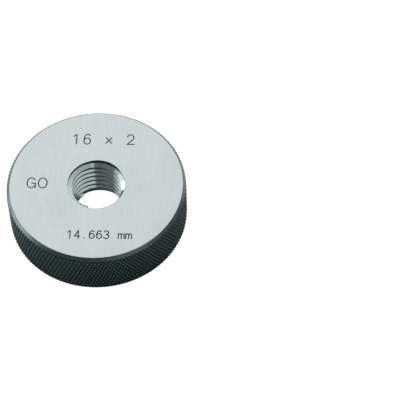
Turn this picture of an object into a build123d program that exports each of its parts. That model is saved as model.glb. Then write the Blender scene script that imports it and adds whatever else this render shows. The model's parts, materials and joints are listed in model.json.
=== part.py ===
"""Go thread ring gauge: one hardened steel ring with a knurled rim and a right-hand
internal thread.

Millimetres, +Z up. The ring lies on Z = 0 with its axis on Z, its marked face
upwards and the near side, from which the face is read, towards -Y.
"""

from build123d import *
from build123d.topology import SkipClean
from math import radians, tan
import os

# Blank
outer_diameter = 50.0  # over the knurl
thickness = 15.0
edge_chamfer = 1.0  # both outer corners, at 45 degrees

# Diamond knurl on the rim: two sets of helical grooves that cross
knurl_tips = 108  # round the rim in each row
knurl_rows = 8  # from chamfer to chamfer
knurl_depth = 0.3
right_hand_share = 0.42  # of both lean slopes: the right-hand grooves stand steeper

# Thread, ISO metric and right-hand
thread_diameter = 16.0  # nominal, the major diameter at the groove's root
thread_pitch = 2.0
start_angle = 125.0  # from +X to the lower blunt end of the thread

# Mouths of the thread, at 45 degrees on both faces
countersink_margin = 0.06  # how far each mouth's rim stands outside the major radius

# Thread form worked out from the pitch
flank_slope = tan(radians(30))  # rise of a flank along the axis for each mm of depth
thread_depth = 5 / 8 * thread_pitch * 3**0.5 / 2
crest_width = thread_pitch / 4
root_key = thread_pitch / 20  # how far the ridge is rooted in the wall of the bore
hone_stock = 0.15 * thread_pitch  # left inside the crest, then honed to the minor diameter

outer_radius = outer_diameter / 2
major_radius = thread_diameter / 2
minor_radius = major_radius - thread_depth
mouth_radius = major_radius + countersink_margin
mouth_depth = mouth_radius - minor_radius
thread_length = thickness - 2 * mouth_depth  # from the middle of one blunt end to the other's

# Half-widths along the axis of the unhoned ridge, at its tip and where it is rooted
tip_radius = minor_radius - hone_stock
tip_half_width = crest_width / 2 - hone_stock * flank_slope
rooted_radius = major_radius + root_key
rooted_half_width = crest_width / 2 + (rooted_radius - minor_radius) * flank_slope

# Knurl form: diamonds one step wide and two rows high, each a pyramid of four facets.
# From one row to the next the lattice turns with the right-hand grooves.
knurl_step = 360 / knurl_tips
row_height = (thickness - 2 * edge_chamfer) / knurl_rows
row_turn = knurl_step * right_hand_share


def ring_point(radius, level, turn):
    return Vector(radius, 0, level).rotate(Axis.Z, turn)


def knurl_row(row):
    """One level of the knurl: tips on the rim, and the crossings of the grooves between them."""
    level = edge_chamfer + row * row_height
    turn = row_turn * (row - knurl_rows / 2)
    points = []
    for tip in range(knurl_tips):
        points.append(ring_point(outer_radius, level, turn + tip * knurl_step))
        points.append(ring_point(outer_radius - knurl_depth, level, turn + (tip + 0.5) * knurl_step))
    return points


def face_corners(level, row):
    """The corners of a flat face of the blank, each level with a tip of the nearest row."""
    turn = row_turn * (row - knurl_rows / 2)
    return [ring_point(outer_radius - edge_chamfer, level, turn + tip * knurl_step) for tip in range(knurl_tips)]


def facet(*corners):
    return Face(Wire.make_polygon(corners))


# Knurled blank: a closed skin of the flat faces, the facets of the knurl between each
# two rows, and the facets of both edge chamfers
rows = [knurl_row(row) for row in range(knurl_rows + 1)]
lower_corners = face_corners(0, 0)
upper_corners = face_corners(thickness, knurl_rows)
skin = [facet(*lower_corners), facet(*upper_corners)]
for tip in range(knurl_tips):
    at, left, right, right_tip = 2 * tip, 2 * tip - 1, 2 * tip + 1, (2 * tip + 2) % (2 * knurl_tips)
    for lower, upper in zip(rows, rows[1:]):
        skin.append(facet(lower[left], lower[at], upper[left]))
        skin.append(facet(lower[at], lower[right], upper[left]))
        skin.append(facet(upper[left], lower[right], upper[at]))
        skin.append(facet(upper[at], lower[right], upper[right]))
    for corners, row in ((lower_corners, rows[0]), (upper_corners, rows[-1])):
        corner, next_corner = corners[tip], corners[(tip + 1) % knurl_tips]
        skin.append(facet(row[at], row[right], corner))
        skin.append(facet(corner, row[right], next_corner))
        skin.append(facet(row[right], row[right_tip], next_corner))
knurled_blank = Solid(Shell(skin))

# What the tools take out of the blank: the bore with its thread and both mouths
with BuildPart() as bore_space:
    # Drilled to the thread's major diameter, past both faces
    with Locations((0, 0, thickness / 2)):
        Cylinder(radius=major_radius, height=thickness + 2 * mouth_depth)

    # Thread ridge, left standing. Its ends are cut blunt, square across the ridge, where
    # its middle is level with the inner edge of each countersink.
    with BuildLine() as ridge_path:
        Helix(pitch=thread_pitch, height=thread_length, radius=major_radius)
    path_place = Location((0, 0, mouth_depth), (0, 0, start_angle))
    with BuildSketch(Plane.XZ.rotated((0, 0, start_angle))):
        with BuildLine():
            Polyline(
                (tip_radius, mouth_depth - tip_half_width),
                (rooted_radius, mouth_depth - rooted_half_width),
                (rooted_radius, mouth_depth + rooted_half_width),
                (tip_radius, mouth_depth + tip_half_width),
                close=True,
            )
        make_face()
    sweep(path=ridge_path.wires()[0].moved(path_place), is_frenet=True, mode=Mode.SUBTRACT)

    # Honed minor diameter and both countersinks, in one piece that stands out of both faces
    with BuildSketch(Plane.XZ):
        with BuildLine():
            Polyline(
                (0, -mouth_depth),
                (mouth_radius + mouth_depth, -mouth_depth),
                (minor_radius, mouth_depth),
                (minor_radius, thickness - mouth_depth),
                (mouth_radius + mouth_depth, thickness + mouth_depth),
                (0, thickness + mouth_depth),
                close=True,
            )
        make_face()
    revolve(axis=Axis.Z)

# The blank is bored in two halves that meet at Y = 0, so that no face of the thread runs
# further than half a turn
with BuildPart() as gauge_ring:
    with SkipClean():
        add(knurled_blank)
        for side in (Keep.TOP, Keep.BOTTOM):
            add(bore_space.part.split(Plane.XZ, keep=side), mode=Mode.SUBTRACT)

gauge_ring.part.label = "gauge_ring"

os.makedirs("parts", exist_ok=True)
export_step(gauge_ring.part, "parts/gauge_ring.step")
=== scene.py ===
import json
from math import atan2, ceil, cos, hypot, pi, radians, sin, sqrt, tan

import bmesh
import bpy
import numpy as np
from mathutils import Matrix, Vector
from mathutils.geometry import delaunay_2d_cdt


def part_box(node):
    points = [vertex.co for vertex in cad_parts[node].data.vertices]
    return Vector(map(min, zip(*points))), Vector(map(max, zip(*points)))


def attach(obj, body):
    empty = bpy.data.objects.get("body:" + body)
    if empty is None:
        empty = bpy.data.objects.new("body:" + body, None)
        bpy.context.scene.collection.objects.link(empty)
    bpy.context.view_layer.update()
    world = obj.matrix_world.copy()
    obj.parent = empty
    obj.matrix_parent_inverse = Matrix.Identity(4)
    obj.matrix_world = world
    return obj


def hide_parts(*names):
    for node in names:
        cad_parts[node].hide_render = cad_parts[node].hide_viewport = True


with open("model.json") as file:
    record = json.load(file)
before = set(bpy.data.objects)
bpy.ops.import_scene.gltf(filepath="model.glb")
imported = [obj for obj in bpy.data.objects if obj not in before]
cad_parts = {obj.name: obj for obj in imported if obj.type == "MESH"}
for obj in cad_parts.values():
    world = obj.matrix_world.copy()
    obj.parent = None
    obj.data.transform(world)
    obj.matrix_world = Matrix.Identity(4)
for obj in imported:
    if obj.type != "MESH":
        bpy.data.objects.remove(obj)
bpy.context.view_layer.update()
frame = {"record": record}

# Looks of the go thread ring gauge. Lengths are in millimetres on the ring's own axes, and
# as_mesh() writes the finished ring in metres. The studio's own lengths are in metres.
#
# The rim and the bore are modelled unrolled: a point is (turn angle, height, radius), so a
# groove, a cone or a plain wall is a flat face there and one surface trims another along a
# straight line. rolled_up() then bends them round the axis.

MM = 0.001
NODE = "gauge_ring"

# How near counts as the same
WELD = 2e-4  # one point
SAME_PLANE = 1e-6  # on the plane of a cut
SAME_LIMIT = 1e-5  # on the limit of a trim, or one point of a flat face
SAME_HEIGHT = 1e-4  # on the level of a flat face

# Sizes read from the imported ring
lowest, highest = (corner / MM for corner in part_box(NODE))
OUTER_RADIUS = (highest.x - lowest.x) / 2
THICKNESS = highest.z - lowest.z
THREAD_MOUNT = next(m for m in frame["record"]["mounts"] if m["name"] == "thread")
MINOR_RADIUS = THREAD_MOUNT["dims"]["r_mm"]

# Ring, as in the solid
EDGE_CHAMFER = 1.0
PITCH = 2.0
FLANK_SLOPE = tan(radians(30))
CREST_HALF = PITCH / 8
MAJOR_RADIUS = MINOR_RADIUS + 5 / 8 * PITCH * sqrt(3) / 2
ROOT_HALF = CREST_HALF + (MAJOR_RADIUS - MINOR_RADIUS) * FLANK_SLOPE
MOUTH_MARGIN = 0.06  # how far each mouth's rim stands outside the major radius
MOUTH_RADIUS = MAJOR_RADIUS + MOUTH_MARGIN
MOUTH_DEPTH = MOUTH_RADIUS - MINOR_RADIUS  # also the height of the ridge's lower blunt end
START_ANGLE = radians(125)  # of the ridge's lower end, from +X
RIDGE_TURN = 2 * pi * (THICKNESS - 2 * MOUTH_DEPTH) / PITCH  # from its lower end to its upper one

# Fine forms
EDGE_BREAK = 0.05  # how far the bright break of the outer edges reaches onto each face
BREAK_ANGLE = radians(22.5)  # between break and face, half the chamfer's
BLUNT_RAMP = radians(3)  # turn in which the ridge rises from nothing to its full height
MATT_TURN = radians(150)  # before the ridge's upper end, where its upper flank is dressed matt and its colour lightened as painted light
THREAD_STEPS = 144  # straight steps in a turn of the thread
SPARE = 2  # rows or turns made past each end of the ring, and then cut off
SMOOTH_BELOW = radians(18)  # edges that turn by less are shaded smooth

# Diamond knurl: grooves of both hands, the left-hand ones leaning a little more
KNURL_COUNT = 147
KNURL_STEP = 2 * pi * OUTER_RADIUS / KNURL_COUNT
RIGHT_HAND_LEAN = tan(radians(20.8))
LEFT_HAND_LEAN = tan(radians(27.8))
KNURL_ROW = KNURL_STEP / (RIGHT_HAND_LEAN + LEFT_HAND_LEAN)  # from one row of tips to the next
KNURL_DEPTH = 0.32  # of the sharp lattice
KNURL_TIP_FLAT = 0.07  # height taken off each sharp tip
KNURL_WORN_AND_HIGHLIT = 0.13  # how far down the tips are grey, partly rubbed wear and partly a painted highlight

# Engraved marks
MARK_WIDTH = 0.34
MARK_DEPTH = 0.12
MARK_SHALLOW = 0.06  # share of its depth from which a stroke is cut at all
MARKS_TURN = radians(-2.2)
GLYPH_HALF = 0.3  # about half a character's width, as a share of its height
ARC_STEP = 15  # degrees between the points of an arc
CAP_STEPS = 6  # in the half circle that ends a stroke

# Materials, by their place on the ring's mesh
GROUND, THREAD, OXIDE, KNURL, INK, MATT_AND_PAINTED_LIGHT = range(6)
NOISE_DETAIL = 3.0
NOISE_RANGE = (0.35, 0.65)  # where most of a noise texture lies

# Camera, found by fitting the two circles of each gauge in the photograph
FRAME_PIXELS = 400
FOCAL_PIXELS = 1947.64
SENSOR = 36.0  # across
CAMERA_DISTANCE = 554.469
CAMERA_TILT = radians(56.5314)
CAMERA_ROLL = radians(-1.2304)
AIM = (28.681, 3.906)  # point of the floor at the middle of the picture
CLIP = (0.01, 20)  # nearest and farthest that the camera sees, in metres

# Studio, in metres. Soft boxes stand right, behind and left, the left one fading upwards in
# two steps. A bright backdrop stands behind on the right, and a dim ceiling hangs at the front
# on the left. The rest of the room is ROOM_GREY.
FLOOR_HALF = 3.0  # of a side of the paper
FLOOR_GLOW = 0.975  # of the paper, as the camera sees it
MIRRORED_PAINTED_GLOW = 1.0  # painted glow of the paper away from the ring, standing in for lamp-lit paper where the metal mirrors it
PAINTED_SHADE_MIDDLE = (18, -62, 0)  # middle of the paper's painted shade in front of the ring, where the mirrored painted glow is nothing, in millimetres
PAINTED_SHADE_TO_GLOW = (62, 155)  # how far from there the painted glow starts to brighten, and is full
ROOM_GREY = (0.14, 0.15, 0.15)
PANELS = [
    # name, middle, one side, other side, radiance
    ("right_panel", (0.735, -0.05, 0.80), (0, 2.5, 0), (1.246, 0, 0), 0.58),
    ("back_panel", (-0.35, 0.92, 0.60), (0.9, 0, 0), (0, 1.5, -0.80), 0.88),
    ("left_panel", (-1.0875, 0.22, 0.309), (0, 1.04, 0), (0.425, 0, 0.578), 2.3),
    ("left_border", (-0.8175, 0.22, 0.676), (0, 1.04, 0), (0.115, 0, 0.156), 1.1),
    ("left_edge", (-0.71, 0.22, 0.812), (0, 1.04, 0), (0.10, 0, 0.116), 0.45),
    ("backdrop", (0.84, 1.26, 0.50), (1.94, -0.80, 0), (0, 0, 0.98), 1.25),
    ("ceiling", (-0.53, -0.65, 1.60), (0, 1.7, 0), (1.36, 0, 0), 0.035),
]


# Unrolled surfaces

def new_face(bm, points):
    return bm.faces.new([bm.verts.new(p) for p in points])


def weld(bm):
    bmesh.ops.remove_doubles(bm, verts=bm.verts[:], dist=WELD)


def cut(bm, point, normal, drop_outer=False):
    """Cuts every face along a plane, and can drop what lies on the side its normal points to."""
    bmesh.ops.bisect_plane(
        bm,
        geom=bm.verts[:] + bm.edges[:] + bm.faces[:],
        dist=SAME_PLANE,
        plane_co=point,
        plane_no=normal,
        clear_outer=drop_outer,
    )
    bmesh.ops.triangulate(bm, faces=bm.faces[:])


def cut_ends(bm):
    """Cuts off what stands past the two faces of the ring."""
    cut(bm, (0, THICKNESS, 0), (0, 1, 0), drop_outer=True)
    cut(bm, (0, 0, 0), (0, -1, 0), drop_outer=True)


def trim(bm, radius, slope=0.0, outside=True, material=None):
    """Cuts the surface at a limit, which is radius - slope * height, and lays what is beyond on it.

    Beyond is outside the limit, or inside it for a bore.
    """
    side = 1 if outside else -1
    cut(bm, (0, 0, radius), (0, slope, 1))
    beyond = {v for v in bm.verts if side * (v.co.z + slope * v.co.y - radius) > -SAME_LIMIT}
    for vert in beyond:
        vert.co.z = radius - slope * vert.co.y
    if material is not None:
        for face in bm.faces:
            if all(v in beyond for v in face.verts):
                face.material_index = material


def knurl_surface():
    """The unrolled knurl: sharp pyramids on a slanted lattice, past both ends of the ring."""
    bm = bmesh.new()
    tip = OUTER_RADIUS + KNURL_TIP_FLAT
    foot = tip - KNURL_DEPTH
    lean = KNURL_ROW * RIGHT_HAND_LEAN  # a right-hand groove's travel along the rim in one row

    def crossing(row, column, radius):
        return (column * KNURL_STEP + row * lean, row * KNURL_ROW, radius)

    for row in range(-SPARE, ceil(THICKNESS / KNURL_ROW) + SPARE):
        for column in range(KNURL_COUNT):
            below = crossing(row, column, foot)
            right = crossing(row + 1, column, foot)
            left = crossing(row + 1, column - 1, foot)
            above = crossing(row + 2, column - 1, foot)
            apex = ((below[0] + above[0]) / 2, (row + 1) * KNURL_ROW, tip)
            around = (below, right, above, left)
            for near, far in zip(around, around[1:] + around[:1]):
                new_face(bm, (apex, near, far))
    weld(bm)
    return bm


def rim_surface():
    """The unrolled rim: the knurl, both chamfers and the bright breaks at their inner edges."""
    bm = knurl_surface()
    for face in bm.faces:
        face.material_index = KNURL
    trim(bm, OUTER_RADIUS, material=KNURL)
    top = THICKNESS - EDGE_CHAMFER + OUTER_RADIUS
    trim(bm, top, slope=1, material=OXIDE)
    trim(bm, OUTER_RADIUS - EDGE_CHAMFER, slope=-1, material=OXIDE)
    steep = 1 / tan(BREAK_ANGLE)
    break_radius = OUTER_RADIUS - EDGE_CHAMFER - EDGE_BREAK
    trim(bm, break_radius + steep * THICKNESS, slope=steep, material=GROUND)
    trim(bm, break_radius, slope=-steep, material=GROUND)
    cut_ends(bm)
    return bm


def ridge_share(turned):
    """How much of its full height the ridge has, that many radians past its lower end."""
    return min(max(min(turned, RIDGE_TURN - turned) / BLUNT_RAMP, 0), 1)


# The thread's strips, from one edge to the other: each edge is its height from the middle of
# the ridge, and whether it lies on the crest
STRIPS = {
    "lower_flank": ((-ROOT_HALF, False), (-CREST_HALF, True)),
    "crest": ((-CREST_HALF, True), (CREST_HALF, True)),
    "upper_flank": ((CREST_HALF, True), (ROOT_HALF, False)),
    "root": ((ROOT_HALF, False), (PITCH - ROOT_HALF, False)),
}


def thread_point(angle, turn, offset, on_crest):
    turned = angle - START_ANGLE + 2 * pi * turn
    height = MOUTH_DEPTH + PITCH * turned / (2 * pi) + offset
    share = ridge_share(turned) * on_crest
    return (angle * MAJOR_RADIUS, height, MAJOR_RADIUS - share * (MAJOR_RADIUS - MINOR_RADIUS))


def thread_material(strip, turned):
    """The blunt ends are black, the dressed end of the upper flank is matt and painted lighter as painted
    light, and the rest is lapped.
    """
    remaining = RIDGE_TURN - turned
    if 0 < min(turned, remaining) < BLUNT_RAMP:
        return OXIDE
    if strip == "upper_flank" and 0 < remaining < MATT_TURN:
        return MATT_AND_PAINTED_LIGHT
    return THREAD


def thread_surface():
    """The unrolled thread: strips that follow the helix, each the width of a flank, crest or root."""
    bm = bmesh.new()
    steps = {2 * pi * k / THREAD_STEPS for k in range(THREAD_STEPS + 1)}
    for blunt_end in (0, BLUNT_RAMP, RIDGE_TURN - BLUNT_RAMP, RIDGE_TURN):
        steps.add((START_ANGLE + blunt_end) % (2 * pi))
    steps = sorted(steps)
    for turn in range(-SPARE, ceil(THICKNESS / PITCH) + SPARE):
        for a, b in zip(steps, steps[1:]):
            turned = (a + b) / 2 - START_ANGLE + 2 * pi * turn
            for strip, (lower, upper) in STRIPS.items():
                corners = ((a, lower), (b, lower), (b, upper), (a, upper))
                face = new_face(bm, [thread_point(angle, turn, *edge) for angle, edge in corners])
                face.material_index = thread_material(strip, turned)
    weld(bm)
    bmesh.ops.triangulate(bm, faces=bm.faces[:])
    return bm


def bore_surface():
    """The unrolled bore. Its lapped thread is bright, and what the lap doesn't reach stays black."""
    bm = thread_surface()
    for face in bm.faces:
        if all(v.co.z > MAJOR_RADIUS - WELD for v in face.verts):
            face.material_index = OXIDE
    trim(bm, MOUTH_RADIUS, slope=1, outside=False, material=GROUND)
    trim(bm, MOUTH_RADIUS - THICKNESS, slope=-1, outside=False, material=GROUND)
    cut_ends(bm)
    return bm


def rolled_up(bm, unroll_radius):
    """Bends an unrolled surface round the axis and closes its seam."""
    for vert in bm.verts:
        angle, height, radius = vert.co.x / unroll_radius, vert.co.y, vert.co.z
        vert.co = (radius * cos(angle), radius * sin(angle), height)
    weld(bm)
    bmesh.ops.dissolve_degenerate(bm, dist=WELD, edges=bm.edges[:])
    return bm


def open_loops(bm, height):
    """The open edge of a surface at that height, as (x, y) points in order of their angle."""
    loose = {v for e in bm.edges if e.is_boundary for v in e.verts}
    level = [v.co for v in loose if abs(v.co.z - height) < SAME_HEIGHT]
    return sorted(((co.x, co.y) for co in level), key=lambda p: atan2(p[1], p[0]))


# Engraved marks: each character is a few strokes in a cell one unit high

def arc(x, y, rx, ry, start, end):
    """Points of an ellipse's arc between two angles, in degrees."""
    count = max(2, round(abs(end - start) / ARC_STEP))
    angles = [radians(start + (end - start) * k / count) for k in range(count + 1)]
    return [(x + rx * cos(a), y + ry * sin(a)) for a in angles]


GLYPHS = {
    "1": [[(0.08, 0.78), (0.32, 0.98)], [(0.32, 1.0), (0.32, 0.0)]],
    "2": [arc(0.30, 0.70, 0.27, 0.30, 165, -38), [(0.52, 0.52), (0.02, 0.0)], [(0.02, 0.0), (0.60, 0.0)]],
    "3": [arc(0.28, 0.76, 0.24, 0.24, 155, -90), arc(0.28, 0.27, 0.28, 0.27, 90, -155)],
    "4": [[(0.42, 1.0), (0.0, 0.28)], [(0.0, 0.28), (0.60, 0.28)], [(0.42, 1.0), (0.42, 0.0)]],
    "6": [arc(0.30, 0.31, 0.27, 0.31, 0, 360), arc(0.33, 0.42, 0.30, 0.58, 50, 190)],
    ".": [[(0.28, 0.03), (0.32, 0.03)]],
    "x": [[(0.06, 0.10), (0.54, 0.66)], [(0.06, 0.66), (0.54, 0.10)]],
    "m": [
        [(0.0, 0.0), (0.0, 0.64)],
        arc(0.16, 0.44, 0.16, 0.20, 180, 0) + [(0.32, 0.0)],
        arc(0.48, 0.44, 0.16, 0.20, 180, 0) + [(0.64, 0.0)],
    ],
    "G": [arc(0.36, 0.50, 0.36, 0.50, 40, 325), [(0.40, 0.46), (0.70, 0.46)], [(0.70, 0.46), (0.70, 0.02)]],
    "O": [arc(0.36, 0.50, 0.36, 0.50, 0, 360)],
    " ": [],
}

# text, middle of its line (x, y), height of a character, step from one character to the next
MARKS = [
    ("16 x 2", (1.9, 15.15), 3.35, 3.05),
    ("GO", (-16.6, 0.85), 3.35, 3.15),
    ("14.663 mm", (1.0, -16.6), 2.48, 2.0),
]


def mark_strokes():
    """Every stroke of the marks, as lists of (x, y) points on the face."""
    turn_x, turn_y = cos(MARKS_TURN), sin(MARKS_TURN)
    strokes = []
    for text, (mid_x, mid_y), height, step in MARKS:
        for place, character in enumerate(text):
            left = (place - (len(text) - 1) / 2) * step - GLYPH_HALF * height
            for stroke in GLYPHS[character]:
                flat = [(left + x * height, (y - 0.5) * height) for x, y in stroke]
                strokes.append(
                    [(mid_x + x * turn_x - y * turn_y, mid_y + x * turn_y + y * turn_x) for x, y in flat]
                )
    return strokes


def outline(stroke, half_width):
    """The closed loops round a stroke: one with round ends, or two where the stroke is a ring."""
    points = [Vector(p) for p in stroke]
    closed = (points[0] - points[-1]).length < WELD

    def side(sign):
        out = []
        for i, p in enumerate(points):
            before = points[i - 1] if i else (points[-2] if closed else p)
            after = points[i + 1] if i + 1 < len(points) else (points[1] if closed else p)
            along = (after - before).normalized()
            out.append(p + sign * half_width * Vector((-along.y, along.x)))
        return out

    if closed:
        return [side(1)[:-1], side(-1)[:-1]]

    def cap(tip, along):
        start = atan2(along.x, -along.y)
        angles = [start - k * pi / CAP_STEPS for k in range(1, CAP_STEPS)]
        return [tip + half_width * Vector((cos(a), sin(a))) for a in angles]

    left, right = side(1), side(-1)
    end_cap = cap(points[-1], (points[-1] - points[-2]).normalized())
    start_cap = cap(points[0], (points[0] - points[1]).normalized())
    return [left + end_cap + right[::-1] + start_cap]


def groove_depth(points, strokes):
    """Depth of the engraving at each (x, y): a V along every stroke, and nothing where it is shallow."""
    starts = np.array([a for s in strokes for a in s[:-1]])
    ends = np.array([b for s in strokes for b in s[1:]])
    along = ends - starts
    points = np.asarray(points)[:, None, :]
    share = ((points - starts) * along).sum(-1) / (along**2).sum(-1)
    nearest = starts + np.clip(share, 0, 1)[..., None] * along
    distance = np.sqrt(((points - nearest) ** 2).sum(-1)).min(1)
    depth = MARK_DEPTH * (1 - distance / (MARK_WIDTH / 2))
    return np.where(depth > MARK_SHALLOW * MARK_DEPTH, depth, 0)


def flat_face(outer, inner, height, upwards, strokes):
    """A face of the ring between two loops of points, with the marks cut into it."""
    corners, edges = [], []

    def add_loop(points, closed=True):
        first = len(corners)
        corners.extend(Vector(p) for p in points)
        count = len(points)
        edges.extend((first + i, first + (i + 1) % count) for i in range(count if closed else count - 1))

    add_loop(outer)
    add_loop(inner)
    for stroke in strokes:
        for loop in outline(stroke, MARK_WIDTH / 2):
            add_loop(loop)
        add_loop(stroke, closed=False)
    inside_only = 1  # the triangulation's setting for triangles inside the loops
    flat_points, _, triangles, *_ = delaunay_2d_cdt(corners, edges, [], inside_only, SAME_LIMIT, False)
    middles = [sum((flat_points[i] for i in triangle), Vector((0, 0))) / 3 for triangle in triangles]
    depth, middle_depth = np.zeros(len(flat_points)), np.zeros(len(middles))
    if strokes:
        depth = groove_depth([tuple(p) for p in flat_points], strokes)
        middle_depth = groove_depth([tuple(p) for p in middles], strokes)
    hole = min(hypot(*p) for p in inner)
    bm = bmesh.new()
    verts = [bm.verts.new((p.x, p.y, height - d)) for p, d in zip(flat_points, depth)]
    for triangle, middle, engraved in zip(triangles, middles, middle_depth):
        if middle.length < hole:
            continue
        face = bm.faces.new([verts[i] for i in (triangle if upwards else triangle[::-1])])
        face.material_index = INK if engraved > 0 else GROUND
    bmesh.ops.delete(bm, geom=[v for v in bm.verts if not v.link_faces], context="VERTS")
    return bm


def as_mesh(name, surfaces):
    """One mesh, in metres, from the surfaces in millimetres."""
    whole = bmesh.new()
    for surface in surfaces:
        part = bpy.data.meshes.new("part")
        surface.to_mesh(part)
        surface.free()
        whole.from_mesh(part)
        bpy.data.meshes.remove(part)
    weld(whole)
    bmesh.ops.recalc_face_normals(whole, faces=whole.faces[:])
    for face in whole.faces:
        face.smooth = True
    open_edges = sum(1 for e in whole.edges if not e.is_manifold)
    print("ring:", len(whole.faces), "faces,", open_edges, "edges not shared by two faces")
    bmesh.ops.scale(whole, vec=(MM, MM, MM), verts=whole.verts[:])
    mesh = bpy.data.meshes.new(name)
    whole.to_mesh(mesh)
    whole.free()
    mesh.set_sharp_from_angle(angle=SMOOTH_BELOW)
    return mesh


def ring_mesh():
    rim = rolled_up(rim_surface(), OUTER_RADIUS)
    bore = rolled_up(bore_surface(), MAJOR_RADIUS)
    surfaces = [rim, bore]
    for height, upwards in ((THICKNESS, True), (0.0, False)):
        outer, inner = open_loops(rim, height), open_loops(bore, height)
        surfaces.append(flat_face(outer, inner, height, upwards, mark_strokes() if upwards else []))
    return as_mesh("ring", surfaces)


# Materials. Their textures follow the ring's own position, so they need no mapping of their own.

def new_material(name, metallic):
    """A material, its node tree and its shader."""
    material = bpy.data.materials.new(name)
    material.use_nodes = True
    shader = material.node_tree.nodes["Principled BSDF"]
    shader.inputs["Metallic"].default_value = metallic
    return material, material.node_tree, shader


def position(tree, per_mm, start=(0, 0, 0)):
    """The place on the ring from a start in millimetres, times a count per millimetre along each axis."""
    place = tree.nodes.new("ShaderNodeTexCoord")
    stretch = tree.nodes.new("ShaderNodeMapping")
    stretch.inputs["Scale"].default_value = [count / MM for count in per_mm]
    stretch.inputs["Location"].default_value = [-count * mm for count, mm in zip(per_mm, start)]
    tree.links.new(place.outputs["Object"], stretch.inputs["Vector"])
    return stretch.outputs["Vector"]


def axis_distance(tree, start=(0, 0, 0)):
    """Millimetres from the ring's axis, or from an upright line through another start."""
    length = tree.nodes.new("ShaderNodeVectorMath")
    length.operation = "LENGTH"
    tree.links.new(position(tree, (1, 1, 0), start), length.inputs[0])
    return length.outputs["Value"]


def noise(tree, vector):
    texture = tree.nodes.new("ShaderNodeTexNoise")
    texture.inputs["Scale"].default_value = 1.0
    texture.inputs["Detail"].default_value = NOISE_DETAIL
    tree.links.new(vector, texture.inputs["Vector"])
    return texture.outputs["Fac"]


def turned_lines(tree, per_mm):
    """Fine rings round the axis, as a tool leaves them, that many per millimetre."""
    rings = tree.nodes.new("ShaderNodeCombineXYZ")
    height = tree.nodes.new("ShaderNodeSeparateXYZ")
    tree.links.new(position(tree, (per_mm, per_mm, per_mm)), height.inputs[0])
    radius = tree.nodes.new("ShaderNodeMath")
    radius.operation = "MULTIPLY"
    radius.inputs[1].default_value = per_mm
    tree.links.new(axis_distance(tree), radius.inputs[0])
    tree.links.new(radius.outputs[0], rings.inputs["X"])
    tree.links.new(height.outputs["Z"], rings.inputs["Y"])
    return noise(tree, rings.outputs[0])


def ranged(tree, value, low, high, source=NOISE_RANGE):
    """A value that lies in the source's range, brought to between low and high."""
    scale = tree.nodes.new("ShaderNodeMapRange")
    scale.inputs["From Min"].default_value, scale.inputs["From Max"].default_value = source
    scale.inputs["To Min"].default_value = low
    scale.inputs["To Max"].default_value = high
    tree.links.new(value, scale.inputs["Value"])
    return scale.outputs["Result"]


def blended(tree, share, first, second):
    """A colour that goes from the first to the second with the share."""
    mix = tree.nodes.new("ShaderNodeMix")
    mix.data_type = "RGBA"
    tree.links.new(share, mix.inputs["Factor"])
    mix.inputs["A"].default_value = (*first, 1)
    mix.inputs["B"].default_value = (*second, 1)
    return mix.outputs["Result"]


def add_bump(tree, shader, height, millimetres):
    bump = tree.nodes.new("ShaderNodeBump")
    bump.inputs["Strength"].default_value = 1.0
    bump.inputs["Distance"].default_value = millimetres * MM
    tree.links.new(height, bump.inputs["Height"])
    tree.links.new(bump.outputs["Normal"], shader.inputs["Normal"])


def ground_steel():
    """Surface-ground faces: a bright grey with faint straight marks of the wheel, from front to back."""
    material, tree, shader = new_material("ground_steel", 1.0)
    wheel_marks = noise(tree, position(tree, (1.6, 0.16, 1.6)))
    fine_marks = noise(tree, position(tree, (7.0, 0.5, 7.0)))
    clouds = noise(tree, position(tree, (0.09, 0.05, 0.09)))
    colour = blended(tree, ranged(tree, wheel_marks, 0, 1), (0.640, 0.680, 0.683), (0.672, 0.712, 0.714))
    tree.links.new(colour, shader.inputs["Base Color"])
    tree.links.new(ranged(tree, clouds, 0.34, 0.44), shader.inputs["Roughness"])
    add_bump(tree, shader, fine_marks, 0.0012)
    return material


def thread_steel():
    """Lapped thread: smoother than the faces, with fine rings round the bore."""
    material, tree, shader = new_material("thread_steel", 1.0)
    rings = turned_lines(tree, 5.0)
    stains = noise(tree, position(tree, (0.5, 0.5, 0.9)))
    colour = blended(tree, ranged(tree, stains, 0, 1), (0.50, 0.575, 0.585), (0.59, 0.665, 0.675))
    tree.links.new(colour, shader.inputs["Base Color"])
    tree.links.new(ranged(tree, rings, 0.09, 0.17), shader.inputs["Roughness"])
    add_bump(tree, shader, rings, 0.001)
    return material


def matt_painted_light_steel():
    """Dressed end of the thread: matt, without a sheen, and lighter in colour than the other steel as
    painted light.
    """
    material, tree, shader = new_material("matt_painted_light_steel", 1.0)
    grain = noise(tree, position(tree, (3, 3, 3)))
    # Painted light: this colour is lighter than the lapped steel's, to brighten the thread's last turn.
    colour = blended(tree, ranged(tree, grain, 0, 1), (0.70, 0.755, 0.76), (0.77, 0.825, 0.83))
    tree.links.new(colour, shader.inputs["Base Color"])
    tree.links.new(ranged(tree, grain, 0.55, 0.7), shader.inputs["Roughness"])
    return material


def black_oxide():
    """Blackened turned steel of the edge chamfers."""
    material, tree, shader = new_material("black_oxide", 1.0)
    rings = turned_lines(tree, 4.0)
    clouds = noise(tree, position(tree, (0.35, 0.35, 0.35)))
    colour = blended(tree, ranged(tree, clouds, 0, 1), (0.124, 0.153, 0.156), (0.163, 0.197, 0.200))
    tree.links.new(colour, shader.inputs["Base Color"])
    tree.links.new(ranged(tree, rings, 0.30, 0.42), shader.inputs["Roughness"])
    add_bump(tree, shader, rings, 0.002)
    return material


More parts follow.
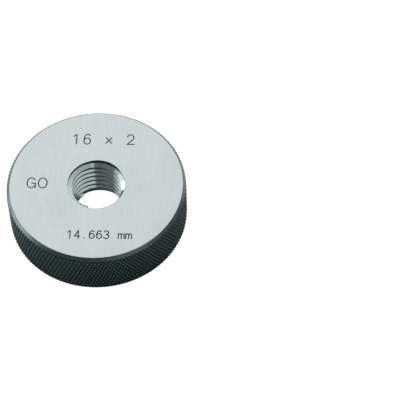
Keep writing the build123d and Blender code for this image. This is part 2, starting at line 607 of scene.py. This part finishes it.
def knurl_oxide():
    """Blackened knurl: almost black in the grooves, grey on the tips as rubbed wear and a painted
    highlight.
    """
    material, tree, shader = new_material("knurl_oxide", 1.0)
    height = ranged(tree, axis_distance(tree), 0, 1, (OUTER_RADIUS - KNURL_WORN_AND_HIGHLIT, OUTER_RADIUS))
    wear = noise(tree, position(tree, (0.9, 0.9, 0.9)))
    worn_and_highlit = tree.nodes.new("ShaderNodeMath")
    worn_and_highlit.operation = "MULTIPLY"
    tree.links.new(height, worn_and_highlit.inputs[0])
    tree.links.new(ranged(tree, wear, 0.65, 1.0), worn_and_highlit.inputs[1])
    # The grey tips are partly rubbed wear and partly a painted highlight along the ridges.
    colour = blended(tree, worn_and_highlit.outputs[0], (0.039, 0.059, 0.061), (0.28, 0.39, 0.40))
    tree.links.new(colour, shader.inputs["Base Color"])
    tree.links.new(ranged(tree, wear, 0.50, 0.36), shader.inputs["Roughness"])
    add_bump(tree, shader, noise(tree, position(tree, (9, 9, 9))), 0.004)
    return material


def dark_mark():
    """Engraved strokes, burnt dark at the bottom."""
    material, tree, shader = new_material("dark_mark", 0.6)
    soot = noise(tree, position(tree, (2.5, 2.5, 2.5)))
    colour = blended(tree, ranged(tree, soot, 0, 1), (0.045, 0.052, 0.053), (0.095, 0.104, 0.105))
    tree.links.new(colour, shader.inputs["Base Color"])
    tree.links.new(ranged(tree, soot, 0.5, 0.65), shader.inputs["Roughness"])
    return material


def add_ring():
    mesh = ring_mesh()
    # in the order of GROUND to MATT_AND_PAINTED_LIGHT
    for make in (ground_steel, thread_steel, black_oxide, knurl_oxide, dark_mark, matt_painted_light_steel):
        mesh.materials.append(make())
    ring = bpy.data.objects.new("gauge_ring_finish", mesh)
    bpy.context.scene.collection.objects.link(ring)
    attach(ring, "root")
    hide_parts(NODE)


# Set

def floor_paper():
    """White paper: to the camera it glows to white, and what light falls on it still shows the shadow. What
    the ring mirrors of it is a painted glow, with a painted shade in front of the ring.
    """
    material = bpy.data.materials.new("floor_paper")
    material.use_nodes = True
    tree = material.node_tree
    shader = tree.nodes["Principled BSDF"]
    shader.inputs["Roughness"].default_value = 0.9
    shader.inputs["Specular IOR Level"].default_value = 0.0
    shader.inputs["Emission Color"].default_value = (1, 1, 1, 1)
    path = tree.nodes.new("ShaderNodeLightPath")
    colour = blended(tree, path.outputs["Is Camera Ray"], (0.45, 0.45, 0.45), (0.2, 0.2, 0.2))
    tree.links.new(colour, shader.inputs["Base Color"])
    glow = tree.nodes.new("ShaderNodeMix")
    tree.links.new(path.outputs["Is Camera Ray"], glow.inputs["Factor"])
    # Painted light: the paper glows where the metal mirrors it. The glow is nothing in a painted shade in
    # front of the ring and full away from it.
    painted_glow = ranged(tree, axis_distance(tree, PAINTED_SHADE_MIDDLE), 0, MIRRORED_PAINTED_GLOW, PAINTED_SHADE_TO_GLOW)
    tree.links.new(painted_glow, glow.inputs["A"])
    glow.inputs["B"].default_value = FLOOR_GLOW
    tree.links.new(glow.outputs["Result"], shader.inputs["Emission Strength"])
    return material


def add_floor():
    corners = [(FLOOR_HALF * x, FLOOR_HALF * y, 0) for x, y in ((-1, -1), (1, -1), (1, 1), (-1, 1))]
    mesh = bpy.data.meshes.new("floor")
    mesh.from_pydata(corners, [], [(0, 1, 2, 3)])
    mesh.materials.append(floor_paper())
    floor = bpy.data.objects.new("floor", mesh)
    bpy.context.scene.collection.objects.link(floor)


def add_world():
    """White behind the set, and a dim grey room for everything the ring mirrors."""
    world = bpy.data.worlds.new("studio")
    bpy.context.scene.world = world
    world.use_nodes = True
    tree = world.node_tree
    tree.nodes.clear()
    path = tree.nodes.new("ShaderNodeLightPath")
    white = tree.nodes.new("ShaderNodeBackground")
    white.inputs["Color"].default_value = (1, 1, 1, 1)
    room = tree.nodes.new("ShaderNodeBackground")
    room.inputs["Color"].default_value = (*ROOM_GREY, 1)
    choice = tree.nodes.new("ShaderNodeMixShader")
    out = tree.nodes.new("ShaderNodeOutputWorld")
    tree.links.new(path.outputs["Is Camera Ray"], choice.inputs[0])
    tree.links.new(room.outputs[0], choice.inputs[1])
    tree.links.new(white.outputs[0], choice.inputs[2])
    tree.links.new(choice.outputs[0], out.inputs["Surface"])


def add_panel(name, middle, along, across, radiance):
    """A soft box, by its middle and full sides. Its radiance is how bright it looks in a mirror."""
    middle, along, across = Vector(middle), Vector(along), Vector(across)
    across -= across.project(along)
    facing = along.cross(across).normalized()
    if facing.dot(middle) < 0:
        along.negate()
        facing.negate()
    light = bpy.data.lights.new(name, "AREA")
    light.shape = "RECTANGLE"
    light.size, light.size_y = along.length, across.length
    light.energy = radiance * pi * light.size * light.size_y
    lamp = bpy.data.objects.new(name, light)
    bpy.context.scene.collection.objects.link(lamp)
    turn = Matrix((along.normalized(), across.normalized(), facing)).transposed().to_4x4()
    lamp.matrix_world = Matrix.Translation(middle) @ turn
    lamp.visible_camera = False


def add_lights():
    for panel in PANELS:
        add_panel(*panel)


def add_camera():
    view = Vector((0, cos(CAMERA_TILT), -sin(CAMERA_TILT)))
    right = Vector((1, 0, 0))
    up = right.cross(view)
    rolled_right = cos(CAMERA_ROLL) * right + sin(CAMERA_ROLL) * up
    rolled_top = cos(CAMERA_ROLL) * up - sin(CAMERA_ROLL) * right
    place = (Vector((*AIM, 0)) - CAMERA_DISTANCE * view) * MM
    data = bpy.data.cameras.new("camera")
    data.sensor_width = SENSOR
    data.lens = FOCAL_PIXELS / FRAME_PIXELS * SENSOR
    data.clip_start, data.clip_end = CLIP
    camera = bpy.data.objects.new("camera", data)
    turn = Matrix((rolled_right, rolled_top, -view)).transposed().to_4x4()
    camera.matrix_world = Matrix.Translation(place) @ turn
    bpy.context.scene.collection.objects.link(camera)
    bpy.context.scene.camera = camera


add_camera()
add_ring()
add_floor()
add_world()
add_lights()
bpy.context.scene.view_settings.view_transform = "Standard"
